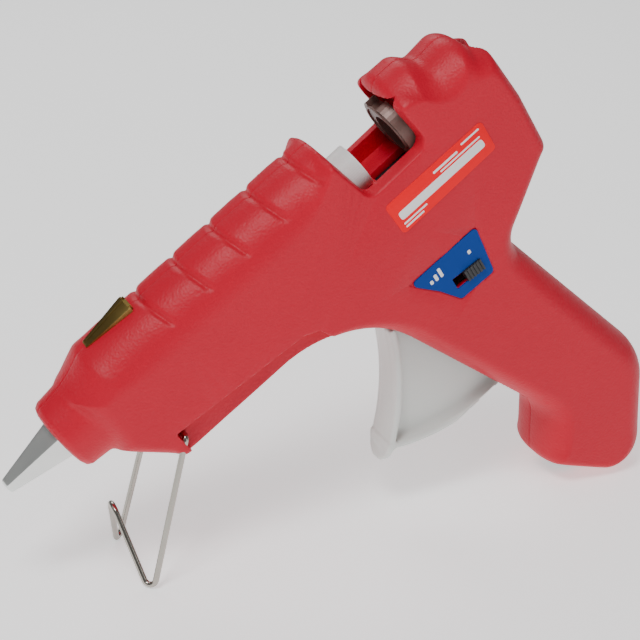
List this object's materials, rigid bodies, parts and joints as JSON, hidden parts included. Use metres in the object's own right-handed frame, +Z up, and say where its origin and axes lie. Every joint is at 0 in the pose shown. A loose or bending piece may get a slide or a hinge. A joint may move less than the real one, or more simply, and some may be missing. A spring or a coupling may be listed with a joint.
{
  "type": "hot glue gun",
  "caption": "Full-size hot glue gun, curved pistol grip, broad white trigger, open stick trough, heat switch and folding wire stand.",
  "frame": {"origin": "centre of the footprint box on the table, which the two stand feet and the rear corner of the grip touch", "axes": "+Z up, -X the way the nozzle points (down and forward), +Y the gun's right side"},
  "size_m": [0.216, 0.0342, 0.1533],
  "materials": {
    "red_plastic": "satin, fine pebble texture",
    "nozzle_metal": "satin",
    "steel": "bright",
    "cast_aluminium": "cast",
    "ceramic": "matte",
    "brass": "dull, lightly tarnished",
    "polyimide": "glossy",
    "white_sleeve": "matte",
    "nickel_wire": "bright nickel",
    "white_plastic": "satin",
    "dark_plastic": "matte",
    "brown_metal": "dull",
    "blue_plate": "satin",
    "label": "glossy film",
    "wire_cover": "matte"
  },
  "bodies": {
    "housing": {"left_shell": "red_plastic", "right_shell": "red_plastic", "nozzle": "nozzle_metal", "nozzle_spring": "steel", "melt_chamber": "cast_aluminium", "ptc_heater": "ceramic", "electrode_plates": "brass", "insulation_film": "polyimide", "inlet_sleeve": "white_sleeve", "sleeve_clamp": "steel", "shell_clip": "brass", "trigger_pin": "steel", "return_spring": "steel", "switch_body": "dark_plastic", "switch_plate": "blue_plate", "side_label": "label", "shell_screws": "steel", "cord_gland": "dark_plastic", "heater_leads": "wire_cover"},
    "stand": {"wire_stand": "nickel_wire"},
    "trigger": {"trigger": "white_plastic"},
    "carriage": {"feed_carriage": "dark_plastic"},
    "gripper": {"stick_gripper": "brown_metal"},
    "switch_slider": {"switch_knob": "dark_plastic"},
    "valve_ball": {"nozzle_ball": "steel"}
  },
  "joints": [
    {"name": "trigger_pull", "type": "hinge", "parent": "housing", "child": "trigger", "pos_m": [0.015, 0, 0.08239], "axis": [0, -1, 0], "range_deg": [0, 20], "stiffness_Nm_per_rad": 0.9, "springref_deg": -8.59, "deforming": ["return_spring"]},
    {"name": "carriage_feed", "type": "slide", "parent": "housing", "child": "carriage", "axis": [-0.8039, 0, -0.5948], "range_m": [0, 0.00769]},
    {"name": "gripper_tilt", "type": "hinge", "parent": "carriage", "child": "gripper", "pos_m": [0.0261, 0, 0.11784], "axis": [0, -1, 0], "range_deg": [0, 3.5], "stiffness_Nm_per_rad": 0.02},
    {"name": "stand_fold", "type": "hinge", "parent": "housing", "child": "stand", "pos_m": [-0.0559, 0, 0.04759], "axis": [0, -1, 0], "range_deg": [0, 115]},
    {"name": "switch_slide", "type": "slide", "parent": "housing", "child": "switch_slider", "axis": [-0.8526, 0, -0.5225], "range_m": [0, 0.004]},
    {"name": "valve_lift", "type": "slide", "parent": "housing", "child": "valve_ball", "axis": [0.8039, 0, 0.5948], "range_m": [0, 0.001], "stiffness_N_per_m": 60, "springref_m": -0.002, "deforming": ["nozzle_spring"]}
  ],
  "couplings": [
    {"joint": "carriage_feed", "follows": "trigger_pull", "m_per_rad": 0.022024}
  ]
}
